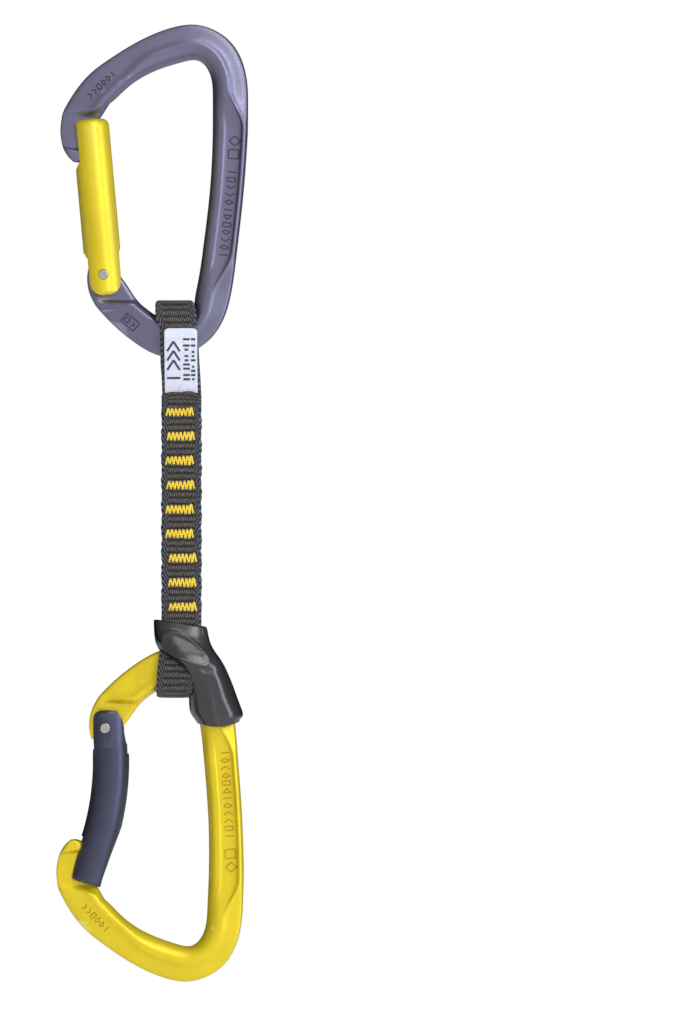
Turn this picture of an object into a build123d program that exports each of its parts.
from build123d import *
import os
from math import asin, cos, radians, sin

# Climbing quickdraw: a straight-gate carabiner above, a bent-gate carabiner below, and a sewn
# webbing sling between them, with a rubber keeper over the lower eye. Millimetres, +Z up.
# Both carabiners lie in the XZ plane, spines towards +X, and open towards -X.
# The origin is the inside of the upper basket, where the bolt hanger bears.

# ---------------------------------------------------------------- driving dimensions
BAR_THICKNESS = 9.4  # forged bar, across Y
BAR_EDGE_RADIUS = 2.4
PLATE_THICKNESS = 4.4  # hinge tab and nose blade, across Y
HEAD_THICKNESS = 7.2  # nose head, outside the gate

HINGE = (-26.6, -65.0)  # gate hinge, X and Z, in a carabiner's own frame
GATE_TILT = 5.2  # degrees, towards -X going up
GATE_DIAMETER = 11.2
GATE_TOP = 47.2  # above the hinge, along the gate
GATE_BOTTOM = -6.2
BENT_GATE_DIAMETER = 11.0
BENT_GATE_BOTTOM = -5.5
GATE_BEND = (4.8, 19.4)  # corner of the bent gate's axis, across and along the gate
GATE_BEND_RADIUS = 80.0
BENT_GATE_TOP = (0.2, 47.3)
GATE_END_RADIUS = 1.2
GATE_TOP_RADIUS = 2.2  # of the straight gate, at the nose
SIDE_CORNER_RADIUS = 0.8  # corners of a gate's side outline
SIDE_CLEARANCE = 0.2  # gate fork to tab or blade, each side

RIVET_DIAMETER = 2.5
RIVET_HEAD_DIAMETER = 3.2
RIVET_LENGTH = 9.8  # between its heads
RIVET_HEAD_HEIGHT = 0.5
RIVET_HEAD_RADIUS = 0.4  # of its rim
DIMPLE = (0.8, 0.5)  # radius and depth
RUNNING_CLEARANCE = 0.05  # radial, tab on its rivet
CAM_HEIGHT = 4.0  # flat top of the hinge tab, above the hinge
CAM_CORNER = 3.2
CAM_BEVEL = (1.4, 2.8)  # beyond the corner and down, towards the spine
CAM_GAP = 0.1  # plunger to cam
FORK_DEPTH = 7.0  # above the hinge, clear of the tab as the gate turns
BORE_DIAMETER = 3.2
PLUNGER_DIAMETER = 2.8
PLUNGER_LENGTH = 7.0
SPRING_DIAMETER = 2.8
SPRING_WIRE = 0.5
SPRING_LENGTH = 10.0
SPRING_TURNS = 8
SPRING_ROOM = 0.3  # bore beyond the spring
SPRING_SEAT = 0.05  # between plunger and spring

STRAP_X = -3.2
STRAP_WIDTH = 12.0
STRAP_THICKNESS = 4.2
WEBBING = 2.0  # one layer round an eye
SOFT_GAP = 0.3  # between soft solids on different bodies
UPPER_EYE_Z = -83.1
UPPER_EYE_RADIUS = 9.8
LOWER_EYE_Z = -184.2
LOWER_EYE_RADIUS = 9.2
EYE_X = -4.6
EYE_WIDTH = 9.2
NECK_LENGTH = 19.0  # upper eye centre to where its two flanks meet
LOWER_NECK_LENGTH = 16.4
FLANK_TOP = 6.5  # below the eye centre, where the separate upper flanks start
TWIST_Z = -117.0
FLEX_Z = -154.2

TACKS = 9
FIRST_TACK_Z = -106.3
TACK_PITCH = 7.37
TACK_SIZE = (8.2, 3.3)
TACK_HEIGHT = 0.4
LABEL_X = -3.8
LABEL_SIZE = (9.0, 0.3)  # width and thickness
LABEL_Z = (-81.3, -100.0)
LABEL_GAP = 0.02

KEEPER_TOP = (5.2, -169.0)  # half depth across Y, and Z
KEEPER_MIDDLE = (10.7, -179.5, -190.5)
KEEPER_BOTTOM = (7.0, -202.0)
KEEPER_CORNER_RADIUS = 0.8

OVERSIZE = 60.0  # of a cutting block, beyond anything it cuts

# The lower carabiner is the same forging turned over, leaning a little from the upper one.
UPPER = Location((0, 0, 0))
LOWER = Location((-2.1, 0, -267.8)) * Rotation(0, 2.34, 0) * Rotation(180, 0, 0)
GATE = Location((HINGE[0], 0, HINGE[1])) * Rotation(0, -GATE_TILT, 0)

# Outer edge of the forged bar, from the hinge tab round the sling end, spine and basket to the nose.
OUTER_EDGE = [
    (-31.0, -60.8),
    (-32.0, -66.4),
    (-30.1, -73.0),
    (-22.6, -81.3),
    (-13.4, -87.9),
    (-4.6, -89.5),
    (4.2, -85.5),
    (10.2, -76.5),
    (13.9, -57.1),
    (16.6, -25.4),
    (16.7, -7.0),
    (10.9, 6.3),
    (-0.6, 10.9),
    (-13.3, 7.1),
    (-25.4, 0.0),
    (-34.5, -8.3),
    (-39.3, -15.7),
    (-39.8, -23.6),
    (-36.9, -29.6),
]
# Inner edge from the nose shoulder round the basket, the spine and the sling end to the tab.
INNER_EDGE = [
    (-28.1, -17.6),
    (-22.4, -9.8),
    (-13.3, -4.0),
    (-4.2, -0.9),
    (0.6, 0.0),
    (4.4, -2.2),
    (6.1, -7.0),
    (6.2, -24.0),
    (4.4, -50.0),
    (1.4, -70.4),
    (0.1, -76.0),
    (-3.6, -79.3),
    (-9.8, -77.6),
    (-16.9, -72.6),
    (-22.4, -65.4),
]
NOSE_TIP = (-35.0, -30.8)
NOSE_INSIDE = [(-31.3, -30.2), (-31.2, -26.0), (-31.8, -21.5), (-30.6, -18.6)]
HEAD_OUTLINE = [(-38.6, -26.6), (-34.4, -26.2), (-34.6, -30.6), (-35.0, -30.8), (-37.0, -29.6)]
SHOULDER_CUT = [(-43, -17), (-35, -15), (-29.2, -14.3), (-27, -18.6), (-27, -33), (-43, -33)]
HINGE_CUT = [(-37, -72.6), (-16, -72.6), (-16, -58), (-37, -58)]

# Keeper, in the XZ plane: a collar on the strap that runs over the corner onto the spine.
KEEPER_OUTLINE = [
    (-11.4, -169.7),
    (-3.6, -170.8),
    (4.4, -172.0),
    (6.0, -177.0),
    (11.2, -186.2),
    (14.2, -193.0),
    (15.0, -198.4),
    (10.6, -200.4),
    (5.6, -201.3),
    (1.2, -200.0),
    (-0.6, -195.6),
    (-2.1, -187.0),
    (-6.0, -181.4),
    (-10.0, -178.6),
]

os.makedirs("parts", exist_ok=True)


def keep(shape, name):
    """Labels one finished piece and writes its STEP."""
    shape.label = name
    export_step(shape, f"parts/{name}.step")


def on_gate(across, along):
    """A point of a carabiner's own XZ plane, from its place across and along the gate."""
    lean = radians(GATE_TILT)
    x = HINGE[0] + across * cos(lean) - along * sin(lean)
    return (x, HINGE[1] + across * sin(lean) + along * cos(lean))


# ---------------------------------------------------------------- carabiner bodies
def forged_body():
    """A round-edged bar, thinned at both ends to the hinge tab and the nose blade."""
    with BuildPart() as bar:
        with BuildSketch(Plane.XZ):
            with BuildLine():
                outer = Spline(*OUTER_EDGE)
                Line(outer @ 1, INNER_EDGE[0])
                inner = Spline(*INNER_EDGE)
                Line(inner @ 1, outer @ 0)
            make_face()
        extrude(amount=BAR_THICKNESS / 2, both=True)
        rims = bar.edges().filter_by(GeomType.BSPLINE)
        fillet(rims, BAR_EDGE_RADIUS)
        for cut in (SHOULDER_CUT, HINGE_CUT):
            with BuildSketch(Plane.XZ):
                with BuildLine():
                    Polyline(*cut, close=True)
                make_face()
            extrude(amount=BAR_THICKNESS, both=True, mode=Mode.SUBTRACT)
        with BuildSketch(Plane.XZ):
            with BuildLine():
                outer = Spline(*OUTER_EDGE)
                Polyline(outer @ 1, NOSE_TIP, *NOSE_INSIDE, INNER_EDGE[0])
                inner = Spline(*INNER_EDGE)
                Polyline(
                    inner @ 1,
                    on_gate(CAM_CORNER + CAM_BEVEL[0], CAM_HEIGHT - CAM_BEVEL[1]),
                    on_gate(CAM_CORNER, CAM_HEIGHT),
                    on_gate(-CAM_CORNER, CAM_HEIGHT),
                    outer @ 0,
                )
            make_face()
        extrude(amount=PLATE_THICKNESS / 2, both=True)
        with BuildSketch(Plane.XZ):
            with BuildLine():
                Polyline(*HEAD_OUTLINE, close=True)
            make_face()
        extrude(amount=HEAD_THICKNESS / 2, both=True)
        with BuildSketch(Plane.XZ):
            with Locations(HINGE):
                Circle(RIVET_DIAMETER / 2 + RUNNING_CLEARANCE)
        extrude(amount=BAR_THICKNESS, both=True, mode=Mode.SUBTRACT)
    return bar.part


# ---------------------------------------------------------------- gates
# A gate's pieces are made upright, hinge axis at the origin and nose end up, then laid on the body.
STRAIGHT_SIDE = [
    (-4.4, -2.2),
    (-4.0, -3.9),
    (-3.0, -5.2),
    (-1.5, -6.0),
    (0.5, GATE_BOTTOM - 0.4),
    (2.6, -5.9),
    (3.9, -5.0),
    (4.7, -3.8),
    (5.0, -2.0),
    (5.0, 6.0),
    (6.0, 9.6),
    (6.0, 50.0),
    (-4.1, 50.0),
    (-4.1, 34.6),
    (-6.0, 31.8),
    (-6.0, 6.6),
    (-4.4, 5.5),
]
BENT_SIDE = [
    (-4.1, -2.6),
    (-3.7, -4.0),
    (-1.6, BENT_GATE_BOTTOM),
    (2.9, BENT_GATE_BOTTOM),
    (4.9, -2.6),
    (5.6, 1.0),
    (6.6, 4.0),
    (8.2, 4.8),
    (12.0, 14.0),
    (10.2, 22.0),
    (8.3, 30.5),
    (6.3, 38.8),
    (4.8, 45.9),
    (4.4, 50.0),
    (-4.1, 50.0),
    (-4.1, 44.6),
    (-3.3, 36.0),
    (-2.4, 24.0),
    (-2.8, 10.0),
    (-3.1, 5.0),
]
NOSE_SLOT = [(-9, 33.4), (0.4, 33.4), (0.4, 42.0), (3.4, 46.0), (3.4, 49), (-9, 49)]


def fork_cutter():
    """What is taken out of a gate: the hinge fork, the nose slot, the spring bore and the rivet hole."""
    bore_start = FORK_DEPTH - 1
    bore_end = CAM_HEIGHT + CAM_GAP + PLUNGER_LENGTH + SPRING_LENGTH + SPRING_ROOM
    foot = RIVET_LENGTH / 2
    with BuildPart() as cutter:
        with BuildSketch(Plane.XZ):
            with Locations((0, FORK_DEPTH)):
                Rectangle(OVERSIZE, OVERSIZE, align=(Align.CENTER, Align.MAX))
            with BuildLine():
                Polyline(*NOSE_SLOT, close=True)
            make_face()
        extrude(amount=PLATE_THICKNESS / 2 + SIDE_CLEARANCE, both=True)
        with BuildSketch(Plane.XY.offset(bore_start)):
            Circle(BORE_DIAMETER / 2)
        extrude(amount=bore_end - bore_start)
        with BuildSketch(Plane.XZ):
            Circle(RIVET_DIAMETER / 2)
        extrude(amount=GATE_DIAMETER, both=True)
        with BuildSketch(Plane.XZ.offset(foot), Plane.XZ.offset(-foot - OVERSIZE)):
            Circle(RIVET_HEAD_DIAMETER / 2)
        extrude(amount=OVERSIZE)
    return cutter.part


def straight_gate():
    """A round barrel with tapered fork ears, cut back beside the nose."""
    with BuildPart() as gate:
        with BuildSketch(Plane.XY.offset(GATE_BOTTOM)):
            Circle(GATE_DIAMETER / 2)
        extrude(amount=GATE_TOP - GATE_BOTTOM)
        ends = gate.edges().filter_by(GeomType.CIRCLE).sort_by(Axis.Z)
        fillet(ends[0], GATE_END_RADIUS)
        fillet(ends[-1], GATE_TOP_RADIUS)
        with BuildSketch(Plane.XZ) as side:
            with BuildLine():
                Polyline(*STRAIGHT_SIDE, close=True)
            make_face()
            fillet(side.vertices(), SIDE_CORNER_RADIUS)
        extrude(amount=GATE_DIAMETER, both=True, mode=Mode.INTERSECT)
        add(fork_cutter(), mode=Mode.SUBTRACT)
    return gate.part


def bent_gate():
    """The same gate with its barrel bowed in towards the spine."""
    with BuildPart() as gate:
        with BuildLine(Plane.XZ) as axis:
            FilletPolyline((0, BENT_GATE_BOTTOM), GATE_BEND, BENT_GATE_TOP, radius=GATE_BEND_RADIUS)
        with BuildSketch(Plane(origin=axis.line @ 0, z_dir=axis.line % 0)):
            Circle(BENT_GATE_DIAMETER / 2)
        sweep()
        fillet(gate.faces().filter_by(GeomType.PLANE).edges(), GATE_END_RADIUS)
        with BuildSketch(Plane.XZ) as side:
            with BuildLine():
                Polyline(*BENT_SIDE, close=True)
            make_face()
            fillet(side.vertices(), SIDE_CORNER_RADIUS)
        extrude(amount=GATE_DIAMETER, both=True, mode=Mode.INTERSECT)
        add(fork_cutter(), mode=Mode.SUBTRACT)
    return gate.part


def hinge_rivet():
    """A solid rivet, peened over in a domed and dimpled head on each ear of the fork."""
    foot = RIVET_LENGTH / 2
    tip = foot + RIVET_HEAD_HEIGHT
    radius, depth = DIMPLE
    with BuildPart() as rivet:
        with BuildSketch(Plane.XZ):
            Circle(RIVET_DIAMETER / 2)
        extrude(amount=foot, both=True)
        with BuildSketch(Plane.XZ.offset(foot), Plane.XZ.offset(-tip)):
            Circle(RIVET_HEAD_DIAMETER / 2)
        extrude(amount=RIVET_HEAD_HEIGHT)
        ends = rivet.faces().filter_by(Axis.Y).sort_by(Axis.Y)
        fillet(ends[0].edges() + ends[-1].edges(), RIVET_HEAD_RADIUS)
        with BuildSketch(Plane.XZ.offset(tip - depth), Plane.XZ.offset(-tip)):
            Circle(radius)
        extrude(amount=depth, mode=Mode.SUBTRACT)
    return rivet.part


def gate_plunger():
    """The pin that the spring pushes down on the cam."""
    with BuildPart() as plunger:
        with BuildSketch(Plane.XY.offset(CAM_HEIGHT + CAM_GAP)):
            Circle(PLUNGER_DIAMETER / 2)
        extrude(amount=PLUNGER_LENGTH)
    return plunger.part


def gate_spring():
    """A coil spring between the plunger and the end of the bore."""
    radius = (SPRING_DIAMETER - SPRING_WIRE) / 2
    height = SPRING_LENGTH - SPRING_WIRE
    base = CAM_HEIGHT + CAM_GAP + PLUNGER_LENGTH + SPRING_SEAT + SPRING_WIRE / 2
    with BuildPart() as spring:
        with BuildLine(Plane.XY.offset(base)) as coil:
            Helix(pitch=height / SPRING_TURNS, height=height, radius=radius)
        with BuildSketch(Plane(origin=coil.line @ 0, z_dir=coil.line % 0)):
            Circle(SPRING_WIRE / 2)
        sweep(is_frenet=True)
    return spring.part


# ---------------------------------------------------------------- sling
def eye_profile(centre, radius, neck, half):
    """Side outline, Y against Z: a round eye whose flanks run tangent to a strap of half this thickness."""
    distance = abs(neck - centre)
    side = 1 if neck > centre else -1
    turn = asin((radius - half) / distance)
    touch = (radius * cos(turn), centre + side * radius * sin(turn))
    with BuildSketch() as profile:
        with BuildLine():
            Line((-half, neck), (-touch[0], touch[1]))
            ThreePointArc((-touch[0], touch[1]), (0, centre - side * radius), touch)
            Line(touch, (half, neck))
            Line((half, neck), (-half, neck))
        make_face()
    return profile.sketch_local


def upper_eye():
    """The webbing loop that goes round the upper bar."""
    with BuildPart() as eye:
        with BuildSketch(Plane.YZ.offset(EYE_X - EYE_WIDTH / 2)):
            with Locations((0, UPPER_EYE_Z)):
                Circle(UPPER_EYE_RADIUS)
                Circle(UPPER_EYE_RADIUS - WEBBING, mode=Mode.SUBTRACT)
        extrude(amount=EYE_WIDTH)
    return eye.part


STRAP_LEFT = Plane.YZ.offset(STRAP_X - STRAP_WIDTH / 2)


def strap_run(top, bottom):
    """A straight run of the strap."""
    with BuildPart() as run:
        with BuildSketch(STRAP_LEFT):
            with Locations((0, (top + bottom) / 2)):
                Rectangle(STRAP_THICKNESS, top - bottom)
        extrude(amount=STRAP_WIDTH)
    return run.part


def upper_strap():
    """The two flanks under the upper eye and the first run of the strap."""
    saddle = UPPER_EYE_RADIUS + SOFT_GAP
    with BuildPart() as strap:
        with BuildSketch(STRAP_LEFT):
            add(eye_profile(UPPER_EYE_Z, saddle + WEBBING, UPPER_EYE_Z - NECK_LENGTH, STRAP_THICKNESS / 2))
            with Locations((0, UPPER_EYE_Z)):
                Circle(saddle, mode=Mode.SUBTRACT)
            with Locations((0, UPPER_EYE_Z - FLANK_TOP + OVERSIZE / 2)):
                Rectangle(OVERSIZE, OVERSIZE, mode=Mode.SUBTRACT)
        extrude(amount=STRAP_WIDTH)
        add(strap_run(UPPER_EYE_Z - NECK_LENGTH, TWIST_Z + SOFT_GAP / 2))
    return strap.part


def middle_strap():
    """The run of strap between the twist and the flex, round at its lower end."""
    with BuildPart() as strap:
        add(strap_run(TWIST_Z - SOFT_GAP / 2, FLEX_Z))
        with BuildSketch(STRAP_LEFT):
            with Locations((0, FLEX_Z)):
                Circle(STRAP_THICKNESS / 2)
        extrude(amount=STRAP_WIDTH)
    return strap.part


def lower_strap():
    """The last run of strap and the eye round the lower bar."""
    neck = LOWER_EYE_Z + LOWER_NECK_LENGTH
    with BuildPart() as strap:
        with BuildSketch(Plane.YZ.offset(EYE_X - EYE_WIDTH / 2)):
            add(eye_profile(LOWER_EYE_Z, LOWER_EYE_RADIUS, neck, STRAP_THICKNESS / 2))
            with Locations((0, LOWER_EYE_Z)):
                Circle(LOWER_EYE_RADIUS - WEBBING, mode=Mode.SUBTRACT)
        extrude(amount=EYE_WIDTH)
        add(strap_run(FLEX_Z - STRAP_THICKNESS / 2 - SOFT_GAP, neck))
    return strap.part


def tack_rows(levels):
    """Bar tacks: one thin block of stitching on each face of the strap at every level."""
    face = STRAP_THICKNESS / 2
    with BuildPart() as tacks:
        with BuildSketch(Plane.XZ.offset(face), Plane.XZ.offset(-face - TACK_HEIGHT)):
            for level in levels:
                with Locations((STRAP_X, level)):
                    Rectangle(*TACK_SIZE)
        extrude(amount=TACK_HEIGHT)
    return tacks.part


def label_tag():
    """A thin fabric tag lying over the front of the upper flank."""
    outside = UPPER_EYE_RADIUS + SOFT_GAP + WEBBING + LABEL_GAP
    neck = UPPER_EYE_Z - NECK_LENGTH
    half = STRAP_THICKNESS / 2 + LABEL_GAP
    with BuildPart() as tag:
        with BuildSketch(Plane.YZ.offset(LABEL_X - LABEL_SIZE[0] / 2)):
            add(eye_profile(UPPER_EYE_Z, outside + LABEL_SIZE[1], neck, half + LABEL_SIZE[1]))
            add(eye_profile(UPPER_EYE_Z, outside, neck, half), mode=Mode.SUBTRACT)
            with Locations(
                (OVERSIZE / 2, UPPER_EYE_Z),
                (0, LABEL_Z[0] + OVERSIZE / 2),
                (0, LABEL_Z[1] - OVERSIZE / 2),
            ):
                Rectangle(OVERSIZE, OVERSIZE, mode=Mode.SUBTRACT)
        extrude(amount=LABEL_SIZE[0])
    return tag.part


# ---------------------------------------------------------------- keeper
def rubber_keeper():
    """A moulded collar over the strap's lower end, hollow for the eye and for the corner of the spine."""
    half = STRAP_THICKNESS / 2 + SOFT_GAP
    with BuildPart() as keeper:
        with BuildSketch(Plane.XZ) as front:
            with BuildLine():
                Polyline(*KEEPER_OUTLINE, close=True)
            make_face()
            fillet(front.vertices(), KEEPER_CORNER_RADIUS)
        extrude(amount=KEEPER_MIDDLE[0] + SOFT_GAP, both=True)
        with BuildSketch(Plane.YZ):
            with BuildLine():
                Polyline(
                    (-KEEPER_TOP[0], KEEPER_TOP[1]),
                    (KEEPER_TOP[0], KEEPER_TOP[1]),
                    (KEEPER_MIDDLE[0], KEEPER_MIDDLE[1]),
                    (KEEPER_MIDDLE[0], KEEPER_MIDDLE[2]),
                    (KEEPER_BOTTOM[0], KEEPER_BOTTOM[1]),
                    (-KEEPER_BOTTOM[0], KEEPER_BOTTOM[1]),
                    (-KEEPER_MIDDLE[0], KEEPER_MIDDLE[2]),
                    (-KEEPER_MIDDLE[0], KEEPER_MIDDLE[1]),
                    close=True,
                )
            make_face()
        extrude(amount=OVERSIZE, both=True, mode=Mode.INTERSECT)
        with BuildSketch(Plane.YZ.offset(STRAP_X - STRAP_WIDTH / 2 - SOFT_GAP)):
            add(eye_profile(LOWER_EYE_Z, LOWER_EYE_RADIUS + SOFT_GAP, LOWER_EYE_Z + LOWER_NECK_LENGTH, half))
        extrude(amount=STRAP_WIDTH + 2 * SOFT_GAP, mode=Mode.SUBTRACT)
        add(bar_passage(), mode=Mode.SUBTRACT)
    return keeper.part


def beside(points, gap):
    """A run of points moved to its own right by the gap."""
    ends = [points[0], *points, points[-1]]
    moved = []
    for before, here, after in zip(ends, points, ends[2:]):
        along = Vector(after[0] - before[0], after[1] - before[1]).normalized()
        moved.append((here[0] + gap * along.Y, here[1] - gap * along.X))
    return moved


def bar_passage():
    """The space of the lower bar, larger by the soft gap all round."""
    with BuildPart() as passage:
        with BuildSketch(Plane.XZ):
            with BuildLine():
                outer = Spline(*beside(OUTER_EDGE, SOFT_GAP))
                inner = Spline(*beside(INNER_EDGE, SOFT_GAP))
                Line(outer @ 1, inner @ 0)
                Line(inner @ 1, outer @ 0)
            make_face()
        extrude(amount=BAR_THICKNESS / 2 + SOFT_GAP, both=True)
    return LOWER * passage.part


# ---------------------------------------------------------------- assembly
body = forged_body()
for side, place, gate in (("upper", UPPER, straight_gate()), ("lower", LOWER, bent_gate())):
    keep(place * body, f"{side}_body")
    keep(place * GATE * gate, f"{side}_gate")
    keep(place * GATE * hinge_rivet(), f"{side}_gate_rivet")
    keep(place * GATE * gate_plunger(), f"{side}_gate_plunger")
    keep(place * GATE * gate_spring(), f"{side}_gate_spring")

keep(upper_eye(), "sling_upper_eye")
keep(upper_strap(), "sling_upper_strap")
keep(middle_strap(), "sling_middle_strap")
keep(lower_strap(), "sling_lower_strap")
levels = [FIRST_TACK_Z - TACK_PITCH * n for n in range(TACKS)]
keep(tack_rows([z for z in levels if z > TWIST_Z]), "upper_bar_tacks")
keep(tack_rows([z for z in levels if FLEX_Z < z < TWIST_Z]), "middle_bar_tacks")
keep(tack_rows([z for z in levels if z < FLEX_Z]), "lower_bar_tacks")
keep(label_tag(), "sling_label")
keep(rubber_keeper(), "rubber_keeper")
